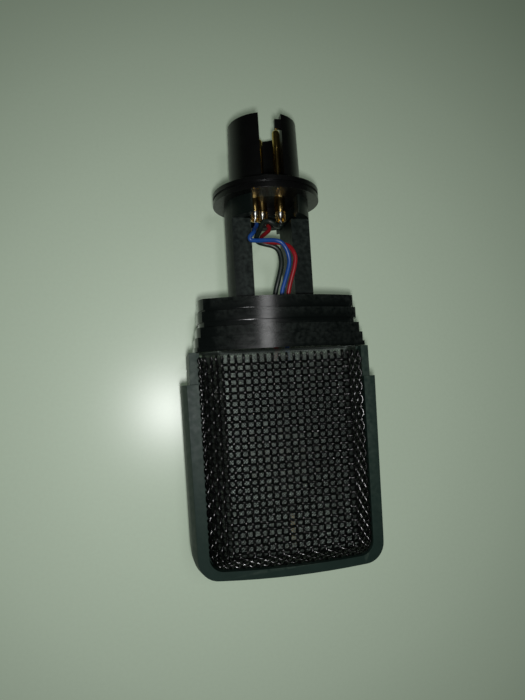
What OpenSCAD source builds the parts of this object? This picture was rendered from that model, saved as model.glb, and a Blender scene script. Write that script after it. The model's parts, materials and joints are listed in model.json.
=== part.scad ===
// Side-address dynamic microphone, shown with the outer neck sleeve taken off.
// It lies on its rear grille: +Y runs to the connector, +Z is the front of the head.
// Inside the modules y is measured from the closed end of the head and z from the long axis.

/* [Overall] */
// Length from the closed end of the head to the connector mouth
total_len = 127.5; // [127:0.5:129]
// Width of the head over the frame band
head_w = 55; // [54.5:0.5:56]
// Depth of the head over both grilles
head_d = 34; // [33.5:0.5:35]

/* [Head frame] */
// Depth of the frame band
frame_d = 21; // [20:0.5:21.5]
// Width of the rim that faces the front
rim_w = 3; // [2.8:0.1:3.1]
// Height at which the full-width band ends
band_top = 52; // [51:0.5:53]
// Radius of the two lower corners of the band
corner_r = 7; // [6:0.5:8]

/* [Grilles] */
// Thickness of the woven wire shell
grille_t = 1.3; // [1.1:0.1:1.4]
// Thickness of the fine gauze behind it
gauze_t = 0.4; // [0.3:0.1:0.5]
// Width of the flat front of a grille
grille_flat_w = 34.6; // [33:0.2:36]
// Height of the open end of a grille
grille_top = 60.6; // [60.2:0.2:60.6]

/* [Shoulder] */
// Height of the shoulder where the neck starts
shoulder_top = 75.4; // [75:0.2:76]
// Width of the narrowest shoulder tier
shoulder_w = 45; // [44.5:0.5:46]
// Depth of the narrowest shoulder tier
shoulder_d = 21.5; // [21:0.5:22]
// Sideways offset of the shoulder from the middle of the head
shoulder_shift = 0.9; // [0:0.1:1]

/* [Neck] */
// Outer diameter of the neck carrier
carrier_d = 24.9; // [24.5:0.1:25.3]
// Gap between the two carrier legs
leg_gap = 12; // [11.6:0.1:12.2]
// Front flat of the carrier legs, from the axis
leg_front = 5; // [4.6:0.1:5.2]
// Back flat of the carrier legs, from the axis
leg_back = 7.4; // [6.6:0.1:7.4]
// Turn of the neck and connector about their axis, in degrees
neck_turn = 3.5; // [0:0.5:4]

/* [Connector] */
// Bore of the connector shell
socket_bore_d = 16.5; // [16.4:0.1:16.7]
// Outer diameter of the shell at its mouth
shell_mouth_d = 20.4; // [20:0.1:20.6]
// Outer diameter of the shell at its flange
shell_root_d = 21.2; // [20.8:0.1:21.4]
// Outer diameter of the flange
flange_d = 31.2; // [30.8:0.1:31.6]
// Width of the keyway slot
key_w = 6.6; // [6:0.1:7]
// Diameter of a contact pin
pin_d = 2.36; // [2.3:0.02:2.4]

/* [Capsule] */
// Outer diameter of the capsule
capsule_d = 28; // [27.6:0.2:28]
// Height of the capsule centre from the closed end of the head
capsule_y = 32; // [31.5:0.5:32]

/* [Hidden] */
eps = 0.01;        // overlap of shapes joined within one piece
cut = 1;           // how far a cutter runs past the face it opens
fine = 96;         // facets of large circles
small = 40;        // facets of small circles

// Heights along the long axis
flange_low = 103.9;
flange_high = 107.2;
barrel_len = total_len - flange_high;
insert_low = 106;
socket_floor = 110.5;
pin_tip = 126.4;
cup_end = [98.7, 98.7, 100.6];
collar_low = 98.6;
leg_end = 70;
plug_low = 60.8;
tongue_top = 60.6;

// Head frame
frame_w_low = head_w / 2 - 0.8;
end_sag = 0.8;
end_crown = 0.15; // crown of the closed end, as a share of the crown of the sides
inner_w = head_w / 2 - 1.4 - rim_w;
web_w = 21.5;
web_z = 6.5;
tongue_out = 25.2;
tongue_in = 22.2;
tongue_z = 9.2;
frame_screw_x = 24.15;
frame_screw_y = 56.5;

// Stop block in the keyway: [width, length, depth], its lower end and its back
stop_size = [1.8, 2.7, 1.2];
stop_y = 123.3;
stop_z = 8.3;

// Contact pins: place in the section seen from the mouth, [x, z]
pin_at = [[3.81, 2.03], [-3.81, 2.03], [0, -4.32]];
cup_r = 1.55;
pin_root_r = pin_d / 2 + 0.22;
cup_depth = 4;
cup_notch = 2.6;
cup_room = 13;

// Shoulder tiers from the head upwards: [lower end, half width, half depth]
tiers = [
    [plug_low, shoulder_w / 2 + 1.9, shoulder_d / 2 + 2.5],
    [62, shoulder_w / 2 + 1.6, shoulder_d / 2 + 2.1],
    [64.6, shoulder_w / 2 + 1.0, shoulder_d / 2 + 1.5],
    [67.4, shoulder_w / 2 + 0.1, shoulder_d / 2 + 0.1],
    [68.9, shoulder_w / 2 + 0.5, shoulder_d / 2 + 0.7],
    [71.8, shoulder_w / 2 - 0.2, shoulder_d / 2 - 0.2],
    [72.3, shoulder_w / 2 + 0.1, shoulder_d / 2],
    [shoulder_top, 0, 0]];
plug_wall = 1.8;
front_crown_r = 62;
end_r = 8; // largest corner radius of the section

// Screws that hold the feet of the legs, from the back of the shoulder
foot_screw_x = 9;
foot_screw_y = 73;
foot_screw_z = 0.8 - shoulder_d / 2;
screw_head_r = 1.65;
screw_pilot_r = 0.85;
foot_screw_len = 9.6;

// Cradle ears, [x, y] of each screw from the capsule centre, and the height they stand at
ears = [[9, -22], [17.2, 17]];
ear_w = 6;
cradle_low = -3.5;

// Capsule, heights along z from the capsule centre plane
cap_r = capsule_d / 2;
cap_in_r = cap_r - 1.6;
housing_low = -9.5;
housing_high = 4;
cap_top = 7.5;
pole_r = 7;
coil_in_r = 7.35;
coil_out_r = 7.95;
ring_in_r = 8.3;
plate_top = 1.5;
dia_z = 3;
mount_out_r = 16.6;
mount_in_r = cap_r + 0.4;
lip_r = cap_r - 0.5;
groove_r = cap_r - 0.9;
lip_h = 1.2;
float_room = 1.3;

// Leads: route points from the solder cup into the head, in the part's own axes
blue_d = 1.25;
red_d = 1.25;
dark_d = 1.5;
blue_route = [[-3.8, 98.6, 2], [-3.5, 97.6, 2.3], [-4.1, 96.4, 3.3], [-4.7, 95.4, 4.6], [-5, 94.5, 5.7],
    [-5.7, 93.6, 6.4], [-6.4, 92.7, 6.5], [-6.1, 91.9, 6.4], [-4.6, 91.8, 6.1], [-2, 92, 5.6],
    [0.9, 92.1, 5.2], [2.8, 91.5, 5.2], [4, 90, 5.2], [4.8, 88.2, 4.8], [5.1, 86, 4.4],
    [4.6, 83.6, 4.1], [3.7, 80.8, 3.8], [2.8, 78, 3.4], [2.4, 75.4, 3.1], [2.3, 72.4, 2.8],
    [2.5, 69, 2.6], [2.9, 65.6, 2.2], [3.4, 62.4, 1.6], [3.8, 59.6, 0.8], [4, 57.4, 0.4]];
red_route = [[0, 100.2, -4.3], [0.7, 99.3, -3.6], [1.2, 98.3, -2.7], [0.8, 97, -1.7], [-0.5, 95.7, -0.4],
    [-1.9, 94.3, 1.4], [-2.4, 93, 3.2], [-1.5, 92.1, 3.9], [0.4, 91.9, 3.7], [2.5, 91.8, 3.6],
    [4.1, 91.3, 3.7], [5.3, 90.4, 4.7], [6.1, 88.8, 5.6], [6.6, 86.8, 5.8], [6.2, 84.2, 5.6],
    [5.4, 81.4, 5.1], [4.6, 78.4, 4.5], [4.1, 75.4, 3.9], [4, 72.4, 3.2], [4, 69.2, 2.1],
    [3.9, 66.4, 1.1], [2.8, 63.6, 0.2], [1.2, 61, 0], [0.2, 59, 0.5], [0, 57.4, 0.4]];
dark_route = [[3.8, 98.6, 2], [3.9, 97.9, 1.2], [3.6, 97.8, 0], [2.7, 98.6, -0.9], [1.3, 99.6, -1.2],
    [-0.2, 99.6, -1.1], [-1.3, 98.6, -0.8], [-1.9, 97.2, -0.4], [-2.8, 95.6, 0.2], [-3.5, 94.1, 1],
    [-3.1, 92.7, 1.4], [-1.3, 91.9, 2], [0.9, 91.3, 2.1], [2.4, 90.2, 2.2], [3.1, 88.3, 2.2],
    [3.2, 85.8, 2.2], [2.7, 83.4, 2], [2, 80.8, 1.7], [1.3, 78.2, 1.2], [0.7, 75.6, 1],
    [0, 72.8, 0.9], [-0.8, 69.8, 0.9], [-1.8, 66.6, 0.9], [-2.8, 63.4, 1],
    [-3.6, 60.4, 0.8], [-4, 57.6, 0.5]];

// ---- shared shapes ----

// Moves a shape drawn from the head end and the axis into the part's frame
module place() translate([0, -total_len / 2, head_d / 2]) children();

// The same for the parts of the neck and connector, which are turned about the axis
module place_neck() place() rotate([0, neck_turn, 0]) children();

// Extrudes a section drawn in x and z from y0 to y1
module along_y(y0, y1) translate([0, y1, 0]) rotate([90, 0, 0]) linear_extrude(y1 - y0) children();

// Extrudes a section drawn in y and z over a width w about x = 0
module along_x(w) rotate([90, 0, 90]) linear_extrude(w, center = true) children();

module rod_y(y0, y1, r) translate([0, y1, 0]) rotate([90, 0, 0]) cylinder(h = y1 - y0, r = r, $fn = fine);

module disc(z0, z1, r) translate([0, 0, z0]) cylinder(h = z1 - z0, r = r, $fn = fine);

module tube(z0, z1, r_out, r_in) difference() {
    disc(z0, z1, r_out);
    disc(z0 - cut, z1 + cut, r_in);
}

// Box from its two corners
module block(a, b) translate(a) cube(b - a);

function arc(cx, cy, r, a0, a1, n) =
    [for (i = [0:n]) let(a = a0 + (a1 - a0) * i / n) [cx + r * cos(a), cy + r * sin(a)]];

// Plan of the head: straight tapering sides, round lower corners, slightly bowed end
function head_plan(w_up, w_low, y_up, y_end, r, sag) = let(k = w_low - r) concat(
    [[w_up, y_up]],
    arc(k, y_end + sag + r, r, 0, -90, 8),
    [for (i = [1:7]) let(x = k * (1 - i / 4)) [x, y_end + sag * pow(x / k, 2)]],
    arc(-k, y_end + sag + r, r, -90, -180, 8),
    [[-w_up, y_up]]);

module rounded_rect(w, d, r) {
    square([w - 2 * r, d], center = true);
    square([w, d - 2 * r], center = true);
    for (sx = [-1, 1], sy = [-1, 1])
        translate([sx * (w / 2 - r), sy * (d / 2 - r)]) circle(r, $fn = small);
}

// Section of the shoulder: round ends, crowned front and back
module shoulder_section(w, d) intersection() {
    rounded_rect(2 * w, 2 * d, min(end_r, d - 0.4));
    translate([0, d - front_crown_r]) circle(front_crown_r, $fn = 2 * fine);
    translate([0, front_crown_r - d]) circle(front_crown_r, $fn = 2 * fine);
}

// Countersunk screw along +z with its head face at z = 0 and a cross recess
module screw(len, d) difference() {
    union() {
        translate([0, 0, 0]) cylinder(h = d / 2, r1 = d, r2 = d / 2, $fn = small);
        translate([0, 0, d / 2 - eps]) cylinder(h = len - d / 2, r = d / 2, $fn = small);
    }
    for (a = [0, 90]) rotate(a) block([-d * 0.6, -d * 0.12, -cut], [d * 0.6, d * 0.12, d * 0.35]);
}

// Tube swept through the points of a route, n sides
function unit(v) = v / norm(v);
function heading(p, i) = unit(p[min(i + 1, len(p) - 1)] - p[max(i - 1, 0)]);
function ring(p, i, r, n) = let(t = heading(p, i), u = unit(cross(t, [0.2, 0.3, 1])), v = cross(t, u))
    [for (k = [0:n - 1]) p[i] + r * (u * cos(360 * k / n) + v * sin(360 * k / n))];
module lead(p, d) {
    n = 8;
    m = len(p);
    pts = [for (i = [0:m - 1]) each ring(p, i, d / 2, n)];
    sides = [for (i = [0:m - 2], k = [0:n - 1])
        [i * n + k, (i + 1) * n + k, (i + 1) * n + (k + 1) % n, i * n + (k + 1) % n]];
    polyhedron(points = pts, faces = concat(
        [[for (k = [0:n - 1]) k]], sides, [[for (k = [0:n - 1]) m * n - 1 - k]]));
}

// ---- connector and neck ----

// Moulded barrel with an open keyway, on a round flange with a grooved edge
module connector_shell() color("#1c1e1f") place_neck() {
    difference() {
        union() {
            translate([0, total_len, 0]) rotate([90, 0, 0])
                cylinder(h = barrel_len + eps, d1 = shell_mouth_d, d2 = shell_root_d, $fn = fine);
            rod_y(flange_low, flange_high, flange_d / 2);
        }
        rod_y(flange_low - cut, total_len + cut, socket_bore_d / 2);
        // keyway, open at the mouth and towards the front
        block([-key_w / 2, flange_high + 0.6, 0], [key_w / 2, total_len + cut, shell_root_d]);
        // shallow groove round the edge of the flange
        difference() {
            rod_y(flange_low + 1.3, flange_low + 2, flange_d / 2 + cut);
            rod_y(flange_low, flange_high, flange_d / 2 - 0.5);
        }
    }
    // stop block on one side of the keyway
    translate([key_w / 2 - stop_size[0], stop_y, stop_z]) cube(stop_size + [0.2, 0, 0]);
}

module pin_insert() color("#232625") place_neck() difference() {
    rod_y(insert_low, socket_floor, socket_bore_d / 2 - 0.02);
    for (p = pin_at) translate([p[0], 0, p[1]])
        rod_y(insert_low - cut, socket_floor + cut, pin_root_r + 0.02);
}

// Pin with a rounded tip, a thicker root held in the insert, and a solder cup whose front is cut away
module contact_pin(i) color("#c9a24a") place_neck() translate([pin_at[i][0], 0, pin_at[i][1]]) difference() {
    union() {
        rod_y(socket_floor - eps, pin_tip - pin_d / 2, pin_d / 2);
        translate([0, pin_tip - pin_d / 2, 0]) sphere(d = pin_d, $fn = fine);
        rod_y(insert_low - eps, socket_floor, pin_root_r);
        rod_y(cup_end[i], insert_low, cup_r);
    }
    rod_y(cup_end[i] - cut, cup_end[i] + cup_depth, cup_r - 0.45);
    block([-cup_r, cup_end[i] - cut, 0.5], [cup_r, cup_end[i] + cup_notch, cup_r + cut]);
}

module contact_pin_1() contact_pin(0);
module contact_pin_2() contact_pin(1);
module contact_pin_3() contact_pin(2);

// Round collar on two flat-sided legs that stand in the shoulder
module neck_carrier() color("#202423") place() difference() {
    rotate([0, neck_turn, 0]) difference() {
        rod_y(leg_end, flange_low, carrier_d / 2);
        // passage between the legs
        block([-leg_gap / 2, leg_end - cut, -carrier_d], [leg_gap / 2, collar_low + 1.4, carrier_d]);
        // flats on the front and back of the legs
        block([-carrier_d, leg_end - cut, leg_front], [carrier_d, collar_low, carrier_d]);
        block([-carrier_d, leg_end - cut, -carrier_d], [carrier_d, collar_low, -leg_back]);
        // room for the solder cups, open at the front
        rod_y(collar_low - eps, flange_low + cut, 9.4);
        block([-cup_room / 2, collar_low - eps, 0], [cup_room / 2, flange_low + cut, carrier_d]);
    }
    // pilot holes for the screws that hold the feet
    for (s = [-1, 1]) translate([s * foot_screw_x, foot_screw_y, -leg_back - cut])
        cylinder(h = foot_screw_len + cut, r = screw_pilot_r, $fn = small);
}

module carrier_screws() color("#7d7f7c") place()
    for (s = [-1, 1]) translate([s * foot_screw_x, foot_screw_y, foot_screw_z])
        screw(foot_screw_len, 1.6);

// Tiered hollow shoulder that closes the head and carries the neck
module shoulder_plug() color("#17191a") place() difference() {
    translate([shoulder_shift, 0, 0]) for (i = [0:len(tiers) - 2])
        along_y(tiers[i][0], tiers[i + 1][0] + (i < len(tiers) - 2 ? eps : 0))
            shoulder_section(tiers[i][1], tiers[i][2]);
    translate([shoulder_shift, 0, 0]) along_y(plug_low - cut, shoulder_top - plug_wall)
        shoulder_section(shoulder_w / 2 - plug_wall, shoulder_d / 2 - plug_wall);
    // sockets for the two legs
    rotate([0, neck_turn, 0]) intersection() {
        rod_y(shoulder_top - plug_wall - cut, shoulder_top + cut, carrier_d / 2 + 0.05);
        union() for (s = [-1, 1])
            translate([s * (leg_gap / 2 + 5), shoulder_top, (leg_front - leg_back) / 2])
                cube([10.1, 3 * plug_wall, leg_front + leg_back + 0.1], center = true);
    }
    // passage for the leads
    rotate([0, neck_turn, 0]) translate([0, shoulder_top, 2.5])
        cube([leg_gap - 0.8, 3 * plug_wall, 11], center = true);
    // countersunk holes for the carrier screws, from the back
    for (s = [-1, 1]) translate([s * foot_screw_x, foot_screw_y, foot_screw_z]) {
        translate([0, 0, -3]) cylinder(h = 3 + 2 * eps, r = screw_head_r, $fn = small);
        cylinder(h = 0.82, r1 = screw_head_r, r2 = screw_pilot_r, $fn = small);
        cylinder(h = 6, r = screw_pilot_r, $fn = small);
    }
}

// ---- head ----

module frame_slab(z, inset, t) translate([0, 0, z - t / 2]) linear_extrude(t)
    polygon(head_plan(head_w / 2 - inset, frame_w_low - inset, band_top,
        inset * end_crown, corner_r - inset, end_sag));

// Outside of the band, crowned between its two rims
module band_solid() hull() {
    frame_slab(0, 0, 8);
    for (s = [-1, 1]) {
        frame_slab(s * 7.5, 0.35, 1);
        frame_slab(s * (frame_d / 2 - 0.3), 1.4, 0.6);
    }
}

// Boss on the web with a pilot hole for a cradle screw
module frame_boss(low, high, ear) difference() {
    block([low[0], low[1], 0.1 - web_z], [high[0], high[1], cradle_low]);
    translate([ear[0], capsule_y + ear[1], -web_z - cut]) cylinder(h = 6, r = 0.82, $fn = small);
}

// U-shaped band with crowned sides, two narrower tongues, and a web that the grilles sit on
module head_frame() color("#3a423f") place() {
    difference() {
        union() {
            band_solid();
            for (s = [-1, 1])
                translate([s * (tongue_out + tongue_in) / 2, (band_top + tongue_top) / 2 - 1, 0])
                cube([tongue_out - tongue_in, tongue_top - band_top + 2, 2 * tongue_z], center = true);
        }
        // seats of the two grilles
        for (s = [0, 1]) mirror([0, 0, s]) translate([0, 0, web_z]) linear_extrude(frame_d)
            polygon(head_plan(inner_w, inner_w - 0.7, tongue_top + cut, 2.6, corner_r - 3, 0.6));
        // opening through the web
        translate([0, 0, -web_z - cut]) linear_extrude(2 * (web_z + cut))
            polygon(head_plan(web_w, web_w - 0.5, tongue_top + cut, 4.4, corner_r - 3.4, 0.6));
        for (s = [-1, 1]) translate([s * frame_screw_x, frame_screw_y, -tongue_z - cut])
            cylinder(h = 7 + cut, r = 0.62, $fn = small);
    }
    for (s = [0, 1]) mirror([s, 0, 0]) {
        frame_boss([ears[0][0] - ear_w / 2, 4], [ears[0][0] + ear_w / 2, 13], ears[0]);
        frame_boss([ears[1][0] - ear_w / 2, 45.5], [web_w + 0.5, 51.5], ears[1]);
    }
}

module frame_screws() color("#8a8c88") place()
    for (s = [-1, 1]) translate([s * frame_screw_x, frame_screw_y, -tongue_z]) difference() {
        union() {
            translate([0, 0, -0.6]) cylinder(h = 0.6, r = 1.1, $fn = small);
            translate([0, 0, -eps]) cylinder(h = 6, r = 0.6, $fn = small);
        }
        for (a = [0, 90]) rotate(a) block([-0.7, -0.14, -cut], [0.7, 0.14, -0.25]);
    }

// Solid bounded by the faces of a grille moved in by an offset
module grille_body(in) {
    top_z = head_d / 2 - in;
    base = inner_w - 0.08 - in;
    flat = grille_flat_w / 2 - in * 0.8;
    knee = frame_d / 2 + 0.1 - in * 0.45;
    intersection() {
        along_y(0, grille_top - in)
            polygon([[-base, web_z], [-base, knee], [-flat, top_z],
                [flat, top_z], [base, knee], [base, web_z]]);
        along_x(head_w) polygon([[2.68 + in, web_z], [2.68 + in, knee], [7 + in * 0.8, top_z],
            [grille_top - 1.1 - in * 0.8, top_z], [grille_top - in, 13], [grille_top - in, web_z]]);
        translate([0, 0, web_z]) linear_extrude(head_d)
            polygon(head_plan(base, base - 0.7, grille_top + 1, 2.68 + in, corner_r - 3.05 - in * 0.3, 0.6));
    }
}

// Open tray between two offsets of the grille body
module grille_tray(outer, inner) difference() {
    grille_body(outer);
    translate([0, 0, -eps]) grille_body(inner);
    // the wall towards the shoulder stops short of the leads
    block([-19, grille_top - 4, web_z - cut], [19, grille_top + cut, web_z + 1.2]);
}

module front_grille() color("#26292a") place() grille_tray(0, grille_t);
module front_gauze() color("#8d9290") place() grille_tray(grille_t + 0.1, grille_t + 0.1 + gauze_t);
module rear_grille() color("#26292a") place() mirror([0, 0, 1]) grille_tray(0, grille_t);
module rear_gauze() color("#8d9290") place()
    mirror([0, 0, 1]) grille_tray(grille_t + 0.1, grille_t + 0.1 + gauze_t);

// Bent brass leaf from the end web to the back of the front gauze
module grille_contact_spring() color("#b98a3e") place() translate([-0.4, 0, 0]) along_x(2.2)
    polygon([[4.9, 0], [4.9, 5.5], [6.8, 9.6], [9.6, 14.3], [16.4, 14.6], [17.8, 13.4],
        [17.5, 13.1], [16.3, 14.2], [9.9, 13.9], [7.2, 9.4], [5.3, 5.4], [5.3, 0]]);

// ---- capsule carrier ----

module capsule_cradle() color("#2c2f2e") place() translate([0, capsule_y, 0]) difference() {
    union() {
        disc(cradle_low, -cradle_low, 19);
        // shelf of the terminal board
        block([-7, 16, cradle_low], [7, 27, -1.5]);
        // ears that stand on the bosses of the frame
        for (s = [0, 1], e = ears) mirror([s, 0, 0])
            block([e[0] - ear_w / 2, min(e[1] - ear_w / 2, 0), cradle_low],
                [e[0] + ear_w / 2, max(e[1] + ear_w / 2, 0), 0]);
    }
    disc(cradle_low - cut, cut - cradle_low, mount_out_r);
    for (s = [-1, 1], e = ears) translate([s * e[0], e[1], cradle_low - cut])
        cylinder(h = 8, r = screw_pilot_r, $fn = small);
}

module cradle_screws() color("#8a8c88") place()
    for (s = [-1, 1], e = ears) translate([s * e[0], capsule_y + e[1], 0]) difference() {
        union() {
            cylinder(h = 1.2, r = 1.6, $fn = small);
            translate([0, 0, -6]) cylinder(h = 6 + eps, r = 0.8, $fn = small);
        }
        for (a = [0, 90]) rotate(a) block([-1, -0.18, 0.7], [1, 0.18, 1.2 + cut]);
    }

// Rubber ring whose lip stands in the groove of the capsule
module shock_mount() color("#303331") place() translate([0, capsule_y, 0]) union() {
    tube(-4.5, 4.5, mount_out_r - 0.02, mount_in_r);
    tube(-lip_h / 2, lip_h / 2, mount_in_r + eps, lip_r);
}

module terminal_board() color("#3d5a3a") place() translate([0, capsule_y, -1.5]) difference() {
    block([-6, 19.6, 0], [6, 26.8, 1.2]);
    for (x = [-4, 0, 4]) translate([x, 21.2, -cut]) cylinder(h = 4, r = 0.5, $fn = small);
}

module wire_blue() color("#2b55b8") place() lead(blue_route, blue_d);
module wire_red() color("#b3262a") place() lead(red_route, red_d);
module wire_dark() color("#2b3331") place() lead(dark_route, dark_d);

// ---- capsule ----

module at_capsule() place() translate([0, capsule_y, 0]) children();

module capsule_housing() color("#5b605e") at_capsule() difference() {
    disc(housing_low, housing_high, cap_r);
    disc(housing_low + 1.2, housing_high + cut, cap_in_r);
    tube(-lip_h / 2 - float_room, lip_h / 2 + float_room, cap_r + cut, groove_r);
    for (a = [0:60:300]) rotate(a) translate([9, 0, housing_low - cut])
        cylinder(h = 4, r = 1.2, $fn = small);
}

module rear_damping_disc() color("#6b6457") at_capsule()
    disc(housing_low + 1.2, housing_low + 2, cap_in_r - 0.1);

module magnet_pot() color("#9b9d99") at_capsule() difference() {
    disc(housing_low + 2, 0, 11.6);
    disc(housing_low + 3.5, cut, 10.1);
}

module magnet() color("#70736f") at_capsule() disc(housing_low + 3.5, -0.3, 6.5);

module pole_plate() color("#a9aba6") at_capsule() disc(-0.3, plate_top, pole_r);

module outer_pole_ring() color("#a9aba6") at_capsule() tube(0, plate_top, 12.2, ring_in_r);

module diaphragm_ring() color("#b9923f") at_capsule() tube(plate_top, 4, cap_in_r - 0.1, 11.7);

module capsule_cap() color("#414645") at_capsule() difference() {
    disc(housing_high, cap_top, cap_r);
    disc(housing_high - cut, cap_top - 1.4, cap_in_r - 0.4);
    translate([0, 0, cap_top - 2]) cylinder(h = 4, r = 1.6, $fn = small);
    for (a = [0:45:315]) rotate(a) translate([5.4, 0, cap_top - 2]) cylinder(h = 4, r = 1.5, $fn = small);
    for (a = [0:30:330]) rotate(a) translate([9.8, 0, cap_top - 2]) cylinder(h = 4, r = 1.3, $fn = small);
}

// Thin dome with a curved surround
module diaphragm() color("#c9c7b4") at_capsule() rotate_extrude($fn = fine)
    polygon([[0, 5], [2.5, 4.85], [5, 4.3], [7.6, 3.2], [9.5, 3.55], [11.3, 3.2], [11.3, 3],
        [9.5, 3.35], [7.6, 3], [5, 4.1], [2.5, 4.65], [0, 4.8]]);

module voice_coil() color("#b5713c") at_capsule() tube(-1.6, dia_z - 0.02, coil_out_r, coil_in_r);

connector_shell();
pin_insert();
contact_pin_1();
contact_pin_2();
contact_pin_3();
neck_carrier();
carrier_screws();
shoulder_plug();
head_frame();
frame_screws();
front_grille();
front_gauze();
rear_grille();
rear_gauze();
grille_contact_spring();
capsule_cradle();
cradle_screws();
shock_mount();
terminal_board();
wire_blue();
wire_red();
wire_dark();
capsule_housing();
rear_damping_disc();
magnet_pot();
magnet();
pole_plate();
outer_pole_ring();
diaphragm_ring();
capsule_cap();
diaphragm();
voice_coil();
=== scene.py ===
"""Looks of the side-address microphone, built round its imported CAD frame. Units: metres."""

import json
import math

import bmesh
import bpy
import numpy as np
from mathutils import Matrix, Vector


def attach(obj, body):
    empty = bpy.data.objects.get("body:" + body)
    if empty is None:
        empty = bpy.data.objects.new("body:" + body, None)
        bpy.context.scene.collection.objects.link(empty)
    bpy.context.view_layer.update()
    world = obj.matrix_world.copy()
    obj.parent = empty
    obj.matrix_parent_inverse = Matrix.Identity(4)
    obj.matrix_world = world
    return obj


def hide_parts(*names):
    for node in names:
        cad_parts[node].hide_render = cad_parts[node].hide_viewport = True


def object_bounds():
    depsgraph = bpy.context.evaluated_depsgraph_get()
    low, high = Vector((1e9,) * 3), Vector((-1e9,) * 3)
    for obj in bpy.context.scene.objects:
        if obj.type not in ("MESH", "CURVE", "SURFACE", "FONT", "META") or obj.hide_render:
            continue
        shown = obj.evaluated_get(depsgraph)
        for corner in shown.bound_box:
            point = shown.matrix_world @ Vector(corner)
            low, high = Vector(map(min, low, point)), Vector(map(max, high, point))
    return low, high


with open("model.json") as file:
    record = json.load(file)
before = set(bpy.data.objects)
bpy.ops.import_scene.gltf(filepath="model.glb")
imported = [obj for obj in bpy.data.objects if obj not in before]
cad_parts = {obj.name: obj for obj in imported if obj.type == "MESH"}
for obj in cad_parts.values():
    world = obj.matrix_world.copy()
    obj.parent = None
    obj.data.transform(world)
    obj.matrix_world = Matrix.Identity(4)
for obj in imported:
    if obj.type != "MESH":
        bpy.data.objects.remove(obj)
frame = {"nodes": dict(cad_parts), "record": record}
CAD_LOW, CAD_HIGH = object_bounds()
MM = 0.001
AXIS_Z = (CAD_LOW.z + CAD_HIGH.z) / 2

# The useful middle of a noise, and how far the gloss strays from a material's own roughness
NOISE_LOW, NOISE_HIGH = 0.3, 0.7
GLOSS_LOW, GLOSS_HIGH = 0.88, 1.15
# Where wear starts and where it is full, by how sharp an edge is; the size of its patches, per metre
WEAR_START, WEAR_FULL, WEAR_SCALE = 0.53, 0.62, 900
# Depth of the surface grain, and the roughness of a clear coat
GRAIN_DEPTH, COAT_ROUGH = 0.00004, 0.08
# Points closer than this are one point, and faces flatter than this are one face, in metres and degrees
SAME_POINT, SAME_FACE = 2e-6, 0.5
# Edges that turn by more than this are rounded, in degrees
ROUNDED_FROM = 32


def at(x, y, z):
    """A place in the row frame from millimetres, y from the head's closed end and z from the long axis."""
    return Vector((x * MM, CAD_LOW.y + y * MM, AXIS_Z + z * MM))


# ---------------------------------------------------------------- camera

ROLL, PITCH, YAW = 0.180, -0.069, 0.057
cam = bpy.data.objects.new("camera", bpy.data.cameras.new("camera"))
bpy.context.scene.collection.objects.link(cam)
cam.matrix_world = (
    Matrix.Translation(at(-31.45, 50.33, 153.92))
    @ Matrix.Rotation(-ROLL, 4, "Y")
    @ Matrix.Rotation(-PITCH, 4, "X")
    @ Matrix.Rotation(-YAW, 4, "Z")
)
cam.data.sensor_width = 36
cam.data.lens = 27.77
cam.data.clip_start = 0.005
bpy.context.scene.camera = cam
bpy.context.scene.view_settings.view_transform = "Standard"

# ---------------------------------------------------------------- materials


def nodes_of(mat):
    mat.use_nodes = True
    tree = mat.node_tree
    return tree, tree.nodes["Principled BSDF"]


def noise(tree, scale, detail=2.0, stretch=None):
    """Noise over the object's own place; scale is in features per metre."""
    where = tree.nodes.new("ShaderNodeTexCoord").outputs["Object"]
    if stretch:
        mapping = tree.nodes.new("ShaderNodeMapping")
        mapping.inputs["Scale"].default_value = stretch
        tree.links.new(where, mapping.inputs["Vector"])
        where = mapping.outputs["Vector"]
    n = tree.nodes.new("ShaderNodeTexNoise")
    n.inputs["Scale"].default_value = scale
    n.inputs["Detail"].default_value = detail
    tree.links.new(where, n.inputs["Vector"])
    return n.outputs["Fac"]


def spread(tree, value, low, high):
    """Maps the useful middle of a noise to low..high."""
    m = tree.nodes.new("ShaderNodeMapRange")
    m.inputs["From Min"].default_value = NOISE_LOW
    m.inputs["From Max"].default_value = NOISE_HIGH
    m.inputs["To Min"].default_value = low
    m.inputs["To Max"].default_value = high
    tree.links.new(value, m.inputs["Value"])
    return m.outputs["Result"]


def mix(tree, factor, a, b):
    """Mixes two colours; each is a colour or a socket."""
    m = tree.nodes.new("ShaderNodeMix")
    m.data_type = "RGBA"
    tree.links.new(factor, m.inputs["Factor"])
    for socket, value in ((m.inputs["A"], a), (m.inputs["B"], b)):
        if isinstance(value, bpy.types.NodeSocket):
            tree.links.new(value, socket)
        else:
            socket.default_value = (*value, 1)
    return m.outputs["Result"]


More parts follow.
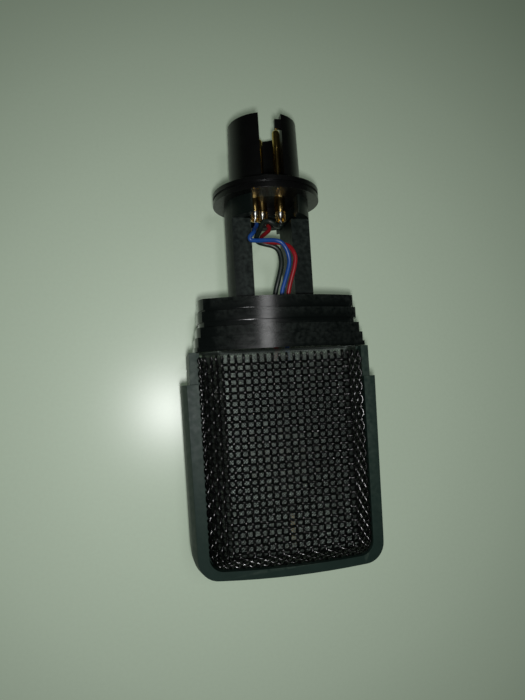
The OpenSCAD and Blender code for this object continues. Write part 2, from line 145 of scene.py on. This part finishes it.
def material(
    name,
    colour,
    rough,
    metallic=0.0,
    vary=0.15,
    patch=250,
    grain=6000,
    bump=0.1,
    wear=None,
    stretch=None,
    specular=0.5,
    coat=0.0,
):
    """Colour patches, uneven gloss, a fine grain, and wear on the edges."""
    mat = bpy.data.materials.new(name)
    tree, shader = nodes_of(mat)
    shader.inputs["Metallic"].default_value = metallic
    shader.inputs["Specular IOR Level"].default_value = specular
    shader.inputs["Coat Weight"].default_value = coat
    shader.inputs["Coat Roughness"].default_value = COAT_ROUGH
    patches = noise(tree, patch, 4.0, stretch)
    dark = tuple(c * (1 - vary) for c in colour)
    light = tuple(min(1.0, c * (1 + vary)) for c in colour)
    result = mix(tree, spread(tree, patches, 0, 1), dark, light)
    fine = noise(tree, grain, 2.0, stretch)
    if wear:
        edge = tree.nodes.new("ShaderNodeMapRange")
        edge.inputs["From Min"].default_value = WEAR_START
        edge.inputs["From Max"].default_value = WEAR_FULL
        geometry = tree.nodes.new("ShaderNodeNewGeometry")
        tree.links.new(geometry.outputs["Pointiness"], edge.inputs["Value"])
        broken = tree.nodes.new("ShaderNodeMath")
        broken.operation = "MULTIPLY"
        tree.links.new(edge.outputs["Result"], broken.inputs[0])
        tree.links.new(spread(tree, noise(tree, WEAR_SCALE, 3.0), 0.0, 1.0), broken.inputs[1])
        result = mix(tree, broken.outputs[0], result, wear)
    tree.links.new(result, shader.inputs["Base Color"])
    smears = noise(tree, patch * 2.5, 3.0, stretch)
    gloss = spread(tree, smears, rough * GLOSS_LOW, rough * GLOSS_HIGH)
    tree.links.new(gloss, shader.inputs["Roughness"])
    b = tree.nodes.new("ShaderNodeBump")
    b.inputs["Strength"].default_value = bump
    b.inputs["Distance"].default_value = GRAIN_DEPTH
    tree.links.new(fine, b.inputs["Height"])
    tree.links.new(b.outputs["Normal"], shader.inputs["Normal"])
    return mat


M = {
    "shell_black": material(
        "shell_black", (0.0042, 0.0045, 0.0044), 0.3, wear=(0.02, 0.024, 0.022), bump=0.04, specular=0.3
    ),
    "carrier_black": material(
        "carrier_black",
        (0.0050, 0.0085, 0.0073),
        0.38,
        vary=0.05,
        wear=(0.03, 0.04, 0.035),
        bump=0.08,
        specular=0.2,
    ),
    "plug_black": material(
        "plug_black",
        (0.0038, 0.0056, 0.0050),
        0.17,
        vary=0.06,
        wear=(0.02, 0.025, 0.022),
        bump=0.03,
        stretch=(0.25, 1.5, 1),
        specular=0.4,
    ),
    "frame_paint": material(
        "frame_paint",
        (0.0190, 0.0370, 0.0300),
        0.42,
        vary=0.08,
        grain=9000,
        bump=0.15,
        wear=(0.05, 0.075, 0.06),
        specular=0.12,
    ),
    "grille_wire": material(
        "grille_wire", (0.0016, 0.0021, 0.0019), 0.18, vary=0.3, bump=0.04, specular=0.6
    ),
    "gauze_wire": material(
        "gauze_wire", (0.20, 0.235, 0.212), 0.4, metallic=1.0, vary=0.25, patch=400, bump=0.05
    ),
    "gold": material(
        "gold", (0.72, 0.5, 0.16), 0.22, metallic=1.0, vary=0.2, patch=900, wear=(0.85, 0.68, 0.34)
    ),
    "insert_black": material("insert_black", (0.006, 0.0065, 0.0065), 0.5, specular=0.25),
    "screw_steel": material("screw_steel", (0.45, 0.45, 0.43), 0.33, metallic=1.0, wear=(0.7, 0.7, 0.68)),
    "spring_brass": material(
        "spring_brass", (0.70, 0.46, 0.14), 0.3, metallic=1.0, vary=0.35, patch=700, wear=(0.8, 0.6, 0.28)
    ),
    "cradle_plastic": material("cradle_plastic", (0.012, 0.013, 0.0125), 0.5, bump=0.2, specular=0.3),
    "mount_rubber": material("mount_rubber", (0.010, 0.011, 0.011), 0.7, bump=0.3, specular=0.3),
    "board": material("board", (0.02, 0.05, 0.022), 0.45, patch=600),
    "lead_blue": material("lead_blue", (0.016, 0.085, 0.36), 0.35, vary=0.12, patch=500, bump=0.1),
    "lead_red": material("lead_red", (0.36, 0.014, 0.020), 0.35, vary=0.12, patch=500, bump=0.1),
    "lead_dark": material("lead_dark", (0.016, 0.026, 0.021), 0.38, vary=0.2, patch=500, bump=0.1),
    "housing_metal": material("housing_metal", (0.42, 0.43, 0.42), 0.35, metallic=1.0, stretch=(1, 1, 6)),
    "felt": material("felt", (0.16, 0.14, 0.11), 0.9, vary=0.4, patch=900, bump=0.8),
    "steel": material("steel", (0.5, 0.51, 0.5), 0.3, metallic=1.0, stretch=(1, 1, 6)),
    "magnet_grey": material("magnet_grey", (0.18, 0.185, 0.18), 0.55, metallic=0.6, bump=0.4),
    "ring_brass": material("ring_brass", (0.58, 0.4, 0.14), 0.32, metallic=1.0, wear=(0.8, 0.62, 0.3)),
    "cap_plastic": material("cap_plastic", (0.020, 0.021, 0.020), 0.5, bump=0.25, specular=0.3),
    "film": material("film", (0.5, 0.48, 0.38), 0.25, vary=0.1, coat=0.3),
    "copper": material("copper", (0.62, 0.26, 0.12), 0.3, metallic=0.9, stretch=(1, 1, 12)),
    "tinned": material("tinned", (0.50, 0.52, 0.50), 0.3, metallic=1.0, vary=0.3, patch=1500),
}

# ---------------------------------------------------------------- pieces from the CAD shapes


def new_piece(name, vertices, faces, mat):
    """A smooth-shaded mesh piece that rides on the housing."""
    mesh = bpy.data.meshes.new(name)
    mesh.from_pydata(vertices, [], faces)
    mesh.materials.append(mat)
    mesh.polygons.foreach_set("use_smooth", [True] * len(mesh.polygons))
    piece = bpy.data.objects.new(name, mesh)
    bpy.context.scene.collection.objects.link(piece)
    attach(piece, "housing")
    return piece


def refine(node, slot, width, segments=2):
    """Stands in for a housing node with the same shape, its edges rounded to a moulded or cast radius."""
    bm = bmesh.new()
    bm.from_mesh(frame["nodes"][node].data)
    bmesh.ops.remove_doubles(bm, verts=bm.verts, dist=SAME_POINT)
    bmesh.ops.dissolve_limit(
        bm,
        angle_limit=math.radians(SAME_FACE),
        use_dissolve_boundaries=False,
        verts=bm.verts,
        edges=bm.edges,
    )
    vertices = [v.co.copy() for v in bm.verts]
    bm.verts.index_update()
    faces = [[v.index for v in f.verts] for f in bm.faces]
    bm.free()
    piece = new_piece(node + "_look", vertices, faces, M[slot])
    bevel = piece.modifiers.new("edges", "BEVEL")
    bevel.width = width * MM
    bevel.segments = segments
    bevel.limit_method = "ANGLE"
    bevel.angle_limit = math.radians(ROUNDED_FROM)
    bevel.harden_normals = True
    bevel.use_clamp_overlap = True
    bevel.miter_outer = "MITER_ARC"
    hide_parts(node)
    return piece


refine("connector_shell", "shell_black", 0.35, segments=3)
refine("pin_insert", "insert_black", 0.15)
for i in (1, 2, 3):
    refine(f"contact_pin_{i}", "gold", 0.08)
refine("neck_carrier", "carrier_black", 0.35, segments=3)
refine("shoulder_plug", "plug_black", 0.28, segments=3)
refine("head_frame", "frame_paint", 0.3, segments=3)
refine("grille_contact_spring", "spring_brass", 0.06)

SLOT_OF = {p["node"]: p["material_slot"] for p in frame["record"]["subparts"]}
for node, obj in frame["nodes"].items():
    obj.data.materials.clear()
    obj.data.materials.append(M[SLOT_OF[node]])

# ---------------------------------------------------------------- tubes


def sweep(points, normals, radius, sides, first=0):
    """Rings about a line of points, with one direction of each ring given; returns vertices and faces."""
    points, normals = np.asarray(points, float), np.asarray(normals, float)
    tangent = np.gradient(points, axis=0)
    tangent /= np.linalg.norm(tangent, axis=1, keepdims=True)
    normals = normals - (normals * tangent).sum(1, keepdims=True) * tangent
    normals /= np.linalg.norm(normals, axis=1, keepdims=True)
    side = np.cross(tangent, normals)
    n = len(points)
    radius = np.broadcast_to(radius, (n,))
    turn = 2 * math.pi * np.arange(sides) / sides
    rings = (
        points[:, None]
        + radius[:, None, None]
        * (np.cos(turn)[None, :, None] * normals[:, None] + np.sin(turn)[None, :, None] * side[:, None])
    )
    i, k = np.meshgrid(np.arange(n - 1), np.arange(sides), indexing="ij")
    nxt = (k + 1) % sides
    quads = np.stack([i * sides + k, i * sides + nxt, (i + 1) * sides + nxt, (i + 1) * sides + k], -1)
    faces = (quads.reshape(-1, 4) + first).tolist()
    faces.append([first + j for j in reversed(range(sides))])
    faces.append([first + (n - 1) * sides + j for j in range(sides)])
    return rings.reshape(-1, 3), faces


def smooth_route(route, steps=6):
    """Catmull-Rom curve through given points in millimetres, as points in the row frame."""
    p = [np.array(at(*q)) for q in route]
    p = [2 * p[0] - p[1], *p, 2 * p[-1] - p[-2]]
    out = []
    for a, b, c, d in zip(p, p[1:], p[2:], p[3:]):
        for k in range(steps):
            t = k / steps
            square, cube = 2 * a - 5 * b + 4 * c - d, 3 * b - a - 3 * c + d
            out.append(0.5 * (2 * b + (c - a) * t + square * t**2 + cube * t**3))
    out.append(p[-2])
    return np.array(out)


def carried_normals(points):
    """One direction square to the line, carried along it without twisting."""
    tangent = np.gradient(points, axis=0)
    n = np.cross(tangent[0], (0.2, 0.3, 1.0))
    out = []
    for t in tangent:
        t = t / np.linalg.norm(t)
        n = n - (n @ t) * t
        n = n / np.linalg.norm(n)
        out.append(n)
    return np.array(out)


# ---------------------------------------------------------------- leads

BLUE_D, RED_D, DARK_D = 1.25, 1.25, 1.5
BLUE_ROUTE = [
    (-3.8, 98.6, 2), (-3.5, 97.6, 2.3), (-4.1, 96.4, 3.3), (-4.7, 95.4, 4.6), (-5, 94.5, 5.7),
    (-5.7, 93.6, 6.4), (-6.4, 92.7, 6.5), (-6.1, 91.9, 6.4), (-4.6, 91.8, 6.1), (-2, 92, 5.6),
    (0.9, 92.1, 5.2), (2.8, 91.5, 5.2), (4, 90, 5.2), (4.8, 88.2, 4.8), (5.1, 86, 4.4),
    (4.6, 83.6, 4.1), (3.7, 80.8, 3.8), (2.8, 78, 3.4), (2.4, 75.4, 3.1), (2.3, 72.4, 2.8),
    (2.5, 69, 2.6), (2.9, 65.6, 2.2), (3.4, 62.4, 1.6), (3.8, 59.6, 0.8), (4, 57.4, 0.4),
]  # fmt: skip
RED_ROUTE = [
    (0, 100.2, -4.3), (0.7, 99.3, -3.6), (1.2, 98.3, -2.7), (0.8, 97, -1.7), (-0.5, 95.7, -0.4),
    (-1.9, 94.3, 1.4), (-2.4, 93, 3.2), (-1.5, 92.1, 3.9), (0.4, 91.9, 3.7), (2.5, 91.8, 3.6),
    (4.1, 91.3, 3.7), (5.3, 90.4, 4.7), (6.1, 88.8, 5.6), (6.6, 86.8, 5.8), (6.2, 84.2, 5.6),
    (5.4, 81.4, 5.1), (4.6, 78.4, 4.5), (4.1, 75.4, 3.9), (4, 72.4, 3.2), (4, 69.2, 2.1),
    (3.9, 66.4, 1.1), (2.8, 63.6, 0.2), (1.2, 61, 0), (0.2, 59, 0.5), (0, 57.4, 0.4),
]  # fmt: skip
DARK_ROUTE = [
    (3.8, 98.6, 2), (3.9, 97.9, 1.2), (3.6, 97.8, 0), (2.7, 98.6, -0.9), (1.3, 99.6, -1.2),
    (-0.2, 99.6, -1.1), (-1.3, 98.6, -0.8), (-1.9, 97.2, -0.4), (-2.8, 95.6, 0.2), (-3.5, 94.1, 1),
    (-3.1, 92.7, 1.4), (-1.3, 91.9, 2), (0.9, 91.3, 2.1), (2.4, 90.2, 2.2), (3.1, 88.3, 2.2),
    (3.2, 85.8, 2.2), (2.7, 83.4, 2), (2, 80.8, 1.7), (1.3, 78.2, 1.2), (0.7, 75.6, 1),
    (0, 72.8, 0.9), (-0.8, 69.8, 0.9), (-1.8, 66.6, 0.9), (-2.8, 63.4, 1),
    (-3.6, 60.4, 0.8), (-4, 57.6, 0.5),
]  # fmt: skip
# solder cups: place across and in depth, and the end of the cup
CUPS = {"blue": (-3.68, 2.26, 98.7), "red": (-0.26, -4.31, 100.6), "dark": (3.93, 1.79, 98.7)}


# sides of a lead's section, and how far its first ring is drawn in where the insulation was cut
LEAD_SIDES, CUT_END = 14, 0.9
# strands of a lead: how many, how far out they lie, their radius, and their turn in radians
STRANDS, STRAND_REACH, STRAND_R, STRAND_TURN = 7, 0.22, 0.115, 5.0
# solder: radius of the lump, its set-back, where it starts above the cup's end and how far it runs down
SOLDER_R, SOLDER_BACK, SOLDER_TOP, SOLDER_RUN = 0.95, 0.15, 3.6, 3.2


def insulation(name, route, diameter, slot, node, skip=4):
    """The coloured part of a lead, from a short way below its solder cup."""
    line = smooth_route(route)[skip:]
    ends = np.ones(len(line))
    ends[0] = CUT_END
    vertices, faces = sweep(line, carried_normals(line), ends * diameter / 2 * MM, LEAD_SIDES)
    piece = new_piece(name, vertices, faces, M[slot])
    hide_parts(node)


def tinned_end(name, cup, route, skip=5):
    """Twisted, tinned strands from inside the solder cup to the insulation, and the solder on them."""
    x, z, end = CUPS[cup]
    start = [(x, end + 3, z), (x, end + 1.4, z)]
    line = smooth_route(start + list(route[:3]), 5)[: 12 + skip]
    normals = carried_normals(line)
    tangent = np.gradient(line, axis=0)
    tangent /= np.linalg.norm(tangent, axis=1, keepdims=True)
    side = np.cross(tangent, normals)
    vertices, faces, count = [], [], 0
    around = STRANDS - 1
    for k in range(STRANDS):
        turn = np.linspace(0, STRAND_TURN, len(line)) + k * 2 * math.pi / around
        reach = 0.0 if k == around else STRAND_REACH * MM
        strand = line + reach * (np.cos(turn)[:, None] * normals + np.sin(turn)[:, None] * side)
        v, f = sweep(strand, normals, STRAND_R * MM, 6, count)
        vertices.append(v)
        faces += f
        count += len(v)
    # solder: a lump deep in the cup that wets the strands
    swell = [1.05, 1.05, 1.05, 1.05, 1.04, 1.0, 0.94, 0.84, 0.7, 0.56, 0.44, 0.34, 0.26]
    steps = len(swell) - 1
    lump = np.array(
        [at(x, end + SOLDER_TOP - SOLDER_RUN * k / steps, z - SOLDER_BACK) for k in range(steps + 1)]
    )
    forward = np.tile((0.0, 0.0, 1.0), (steps + 1, 1))
    v, f = sweep(lump, forward, np.array(swell) * SOLDER_R * MM, LEAD_SIDES, count)
    vertices.append(v)
    faces += f
    new_piece(name, np.vstack(vertices), faces, M["tinned"])


insulation("lead_blue", BLUE_ROUTE, BLUE_D, "lead_blue", "wire_blue")
insulation("lead_red", RED_ROUTE, RED_D, "lead_red", "wire_red", skip=8)
insulation("lead_dark", DARK_ROUTE, DARK_D, "lead_dark", "wire_dark")
tinned_end("tinned_blue", "blue", BLUE_ROUTE)
tinned_end("tinned_red", "red", RED_ROUTE, skip=7)
tinned_end("tinned_dark", "dark", DARK_ROUTE)

# ---------------------------------------------------------------- woven grilles

# The outline of a grille's front, as in the CAD: millimetres, moved in by an offset
FLAT_HALF, BASE_HALF, KNEE_Z, TOP_Z, FOOT_Z = 17.3, 23.02, 10.6, 17.0, 6.5
END_Y, FLAT_LOW_Y, FLAT_HIGH_Y, OPEN_Y = 2.68, 7.0, 59.5, 60.6
TAPER, SAG, PLAN_R = 0.7, 0.6, 3.95
# How far a bent line is walked past its ends, and the step; the reach of the sag from the closed end
WALK_MARGIN, WALK_STEP, SAG_REACH = 4, 0.02, 12
# How widely the hips between two slopes are eased, and the step that a normal is taken over
HIP_SOFT, NORMAL_STEP = 1.6, 0.05


class Profile:
    """A bent line walked by its length, with its creases rounded."""

    def __init__(self, corners, ease):
        p = np.array(corners, float)
        run = np.concatenate([[0], np.cumsum(np.linalg.norm(np.diff(p, axis=0), axis=1))])
        self.length = run[-1]
        s = np.arange(-WALK_MARGIN, self.length + WALK_MARGIN, WALK_STEP)
        first, last = (p[1] - p[0]) / run[1], (p[-1] - p[-2]) / (run[-1] - run[-2])
        raw = np.stack([np.interp(s, run, p[:, k]) for k in (0, 1)], 1)
        raw += np.minimum(s, 0)[:, None] * first + np.maximum(s - self.length, 0)[:, None] * last
        kernel = np.hanning(int(ease / WALK_STEP) + 3)
        kernel /= kernel.sum()
        self.s = s
        self.xy = np.stack([np.convolve(raw[:, k], kernel, "same") for k in (0, 1)], 1)

    def __call__(self, s):
        return np.interp(s, self.s, self.xy[:, 0]), np.interp(s, self.s, self.xy[:, 1])


class Shell:
    """The middle surface of a woven shell, by lengths u from the middle and v from the closed end."""

    def __init__(self, inward, ease, spare=0.8, open_y=None):
        top, base = TOP_Z - inward, BASE_HALF - inward
        flat, knee = FLAT_HALF - spare * inward, KNEE_Z - 0.45 * inward
        self.across = Profile([(0, top), (flat, top), (base, knee), (base, FOOT_Z)], ease)
        low = END_Y + inward
        top_end = [(FLAT_HIGH_Y - 0.8 * inward, top), (OPEN_Y - inward, 13)]
        if open_y:
            top_end = [(open_y - 0.9, top), (open_y, top - 1.4)]
        low_end = [(low, FOOT_Z), (low, knee), (FLAT_LOW_Y + spare * inward, top)]
        self.along = Profile([*low_end, *top_end], ease)
        self.base, self.low, self.r = base, low, PLAN_R - 0.3 * inward

    def point(self, u, v):
        x, zx = self.across(np.abs(u))
        y, zy = self.along(v)
        # the lower of the two slopes, with the hip between them eased
        gap = np.clip(0.5 + (zx - zy) / (2 * HIP_SOFT), 0, 1)
        z = zy * gap + zx * (1 - gap) - HIP_SOFT * gap * (1 - gap)
        # round the two lower corners in plan
        cx, cy = self.base - self.r, self.low + self.r
        a, b = np.clip((x - cx) / self.r, 0, 1), np.clip((cy - y) / self.r, 0, 1)
        x = np.where(x > cx, cx + self.r * a * np.sqrt(1 - b * b / 2) + np.maximum(x - self.base, 0), x)
        y = np.where(y < cy, cy - self.r * b * np.sqrt(1 - a * a / 2), y)
        # bowed end and tapering sides
        y = y + SAG * (x / cx) ** 2 * np.clip(1 - (y - self.low) / SAG_REACH, 0, 1)
        x = x * (1 - TAPER / self.base * np.clip((OPEN_Y - y) / (OPEN_Y - self.low), 0, 1))
        return np.stack([np.sign(u) * x, y, z], -1)

    def normal(self, u, v):
        d = NORMAL_STEP
        du = self.point(u + d, v) - self.point(u - d, v)
        dv = self.point(u, v + d) - self.point(u, v - d)
        n = np.cross(du, dv)
        # down the lower corners both lengths run along the same edge: there the way out is taken in plan
        out = self.point(u, v) * (1, 1, 0) - (0, self.low + self.r, 0)
        n = np.where(np.linalg.norm(n, axis=-1, keepdims=True) < 1e-6, out, n)
        return n / np.linalg.norm(n, axis=-1, keepdims=True)


def weave(shell, pitch, wire, sides, steps, box, ends, slant, seed, loose=0.02, crimp=0.5, wide=1.0):
    """Plain weave draped on a shell: vertices in millimetres and faces. Wires cross over and under in turn.

    sides is a wire's number of sides, and steps its number of rings for each pitch. box is (half width,
    low, high) in lengths over the shell; ends holds how far short each of the two sets of wires stops at
    the high end; slant turns the weave, in degrees; wide opens its spacing across.
    """
    rng = np.random.default_rng(seed)
    half, low, high = box[0] / wide, box[1], box[2]
    middle = np.array([1e-4, (low + high) / 2])
    vertices, faces, count = [], [], 0
    for family in (0, 1):
        a = math.radians(slant + 90 * (1 - family))
        along, over = np.array([math.cos(a), math.sin(a)]), np.array([-math.sin(a), math.cos(a)])
        top = high - ends[family]
        most = int(math.hypot(half, high - low) / pitch) + 2
        for i in range(-most, most + 1):
            # the stretch of this wire that lies inside the box, in steps of the pitch
            base = middle + over * i * pitch
            first, last = -float(most), float(most)
            for axis, limits in ((0, (-half, half)), (1, (low, top))):
                if abs(along[axis]) < 1e-9:
                    if not limits[0] <= base[axis] <= limits[1]:
                        last = first
                    continue
                cuts = sorted((limit - base[axis]) / along[axis] / pitch for limit in limits)
                first, last = max(first, cuts[0]), min(last, cuts[1])
            t = np.arange(math.ceil(first * steps), math.floor(last * steps) + 1) / steps
            if len(t) < 3:
                continue
            drift = rng.normal(0, loose) + rng.normal(0, loose) * np.sin(t * 0.35 + rng.uniform(0, 6))
            place = base[:, None] + along[:, None] * t * pitch + over[:, None] * drift
            place = place * np.array([[wide], [1.0]])
            sign = (-1) ** (i + family)
            n = shell.normal(*place)
            p = shell.point(*place) + n * (wire * crimp * sign * np.cos(math.pi * t))[:, None]
            ring, f = sweep(p, n, wire / 2, sides, count)
            vertices.append(ring)
            faces.extend(f)
            count += len(ring)
    return np.vstack(vertices), faces


def grille(side, part, node, slot, vertices, faces):
    """Places a weave on the front, or mirrored on the back."""
    v = vertices * MM
    v[:, 2] *= side
    v += np.array(at(0, 0, 0))
    if side < 0:
        faces = [f[::-1] for f in faces]
    piece = new_piece(part, v, faces, M[slot])
    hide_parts(node)


EASE = 2.6
coarse = Shell(0.78, EASE)
fine = Shell(1.72, EASE, spare=0.45, open_y=60.5)
mesh_coarse = weave(
    coarse,
    pitch=1.84,
    wire=0.78,
    sides=8,
    steps=4,
    box=(28.4, 2.0, coarse.along.length - 2.9),
    ends=(0.0, 1.6),
    slant=0,
    seed=3,
    loose=0.03,
    crimp=0.45,
    wide=1.04,
)
mesh_fine = weave(
    fine,
    pitch=0.52,
    wire=0.27,
    sides=3,
    steps=1,
    box=(27.4, 2.4, fine.along.length),
    ends=(0.0, 0.0),
    slant=45,
    seed=5,
    loose=0.01,
)
for side, where in ((1, "front"), (-1, "rear")):
    grille(side, where + "_weave", where + "_grille", "grille_wire", *mesh_coarse)
    grille(side, where + "_gauze_weave", where + "_gauze", "gauze_wire", *mesh_fine)

# ---------------------------------------------------------------- table and light


TABLE_COLOUR = (0.70, 0.82, 0.66)
# Painted light and shade on the table: shades of its colour at shares of this distance from the microphone,
# in metres
PAINTED_FALLOFF_REACH = 0.25
TABLE_PAINTED_FALLOFF = [
    (0.0, 0.86),
    (0.12, 0.95),
    (0.24, 1.0),
    (0.36, 0.97),
    (0.48, 0.84),
    (0.6, 0.6),
    (0.72, 0.28),
    (1.0, 0.15),
]


def table():
    """The pale table, with painted light falloff: its colour is darker away from the microphone, and a
    little darker right under it.
    """
    size, n = 3.0, 24
    bm = bmesh.new()
    bmesh.ops.create_grid(bm, x_segments=n, y_segments=n, size=size / 2)
    mesh = bpy.data.meshes.new("table")
    bm.to_mesh(mesh)
    bm.free()
    mat = bpy.data.materials.new("table")
    tree, shader = nodes_of(mat)
    where = tree.nodes.new("ShaderNodeTexCoord").outputs["Object"]
    middle = tree.nodes.new("ShaderNodeVectorMath")
    middle.operation = "DISTANCE"
    tree.links.new(where, middle.inputs[0])
    middle.inputs[1].default_value = tuple(at(0, 45, 0).xy) + (0,)
    # painted light and shade: this ramp darkens the table's colour away from the microphone, and a little
    # right under it
    ramp = tree.nodes.new("ShaderNodeValToRGB")
    reach = tree.nodes.new("ShaderNodeMath")
    reach.operation = "DIVIDE"
    reach.inputs[1].default_value = PAINTED_FALLOFF_REACH
    tree.links.new(middle.outputs["Value"], reach.inputs[0])
    tree.links.new(reach.outputs[0], ramp.inputs["Fac"])
    ramp.color_ramp.elements.remove(ramp.color_ramp.elements[1])
    for k, (place, shade) in enumerate(TABLE_PAINTED_FALLOFF):
        e = ramp.color_ramp.elements[0] if k == 0 else ramp.color_ramp.elements.new(place)
        e.position = place
        e.color = (*(c * shade for c in TABLE_COLOUR), 1)
    mottle = spread(tree, noise(tree, 900, 4.0), 0.0, 0.05)
    tree.links.new(mix(tree, mottle, ramp.outputs["Color"], (0.3, 0.3, 0.28)), shader.inputs["Base Color"])
    shader.inputs["Roughness"].default_value = 0.3
    shader.inputs["Specular IOR Level"].default_value = 0.55
    # painted light: a faint pale-green glow of the table itself, standing in for light passed on from its
    # surroundings and lightening the shadows on it
    shader.inputs["Emission Color"].default_value = (0.76, 1.0, 0.7, 1)
    shader.inputs["Emission Strength"].default_value = 0.095
    mesh.materials.append(mat)
    floor = bpy.data.objects.new("table", mesh)
    bpy.context.scene.collection.objects.link(floor)
    floor.location.z = CAD_LOW.z


table()

# Light of the camera's own flash and of the room, in watts
FLASH, OVERHEAD = 0.115, 0.11


def lamp(name, place, target, size, watts):
    """Rectangular light at a place, facing a target, long side along Y."""
    data = bpy.data.lights.new(name, "AREA")
    data.shape = "RECTANGLE"
    data.size, data.size_y = size
    data.energy = watts
    obj = bpy.data.objects.new(name, data)
    bpy.context.scene.collection.objects.link(obj)
    obj.location = place
    obj.rotation_euler = (target - place).to_track_quat("-Z", "Y").to_euler()


lamp("flash", at(-30, 40, 158), at(-26, 40, 0), (0.012, 0.008), FLASH)
lamp("overhead", at(12.7, 123, 461), at(-4.6, 68, 12), (0.05, 0.10), OVERHEAD)

world = bpy.data.worlds.new("world")
bpy.context.scene.world = world
world.use_nodes = True
background = world.node_tree.nodes["Background"]
background.inputs["Color"].default_value = (0.9, 1.0, 0.9, 1)
background.inputs["Strength"].default_value = 0.012
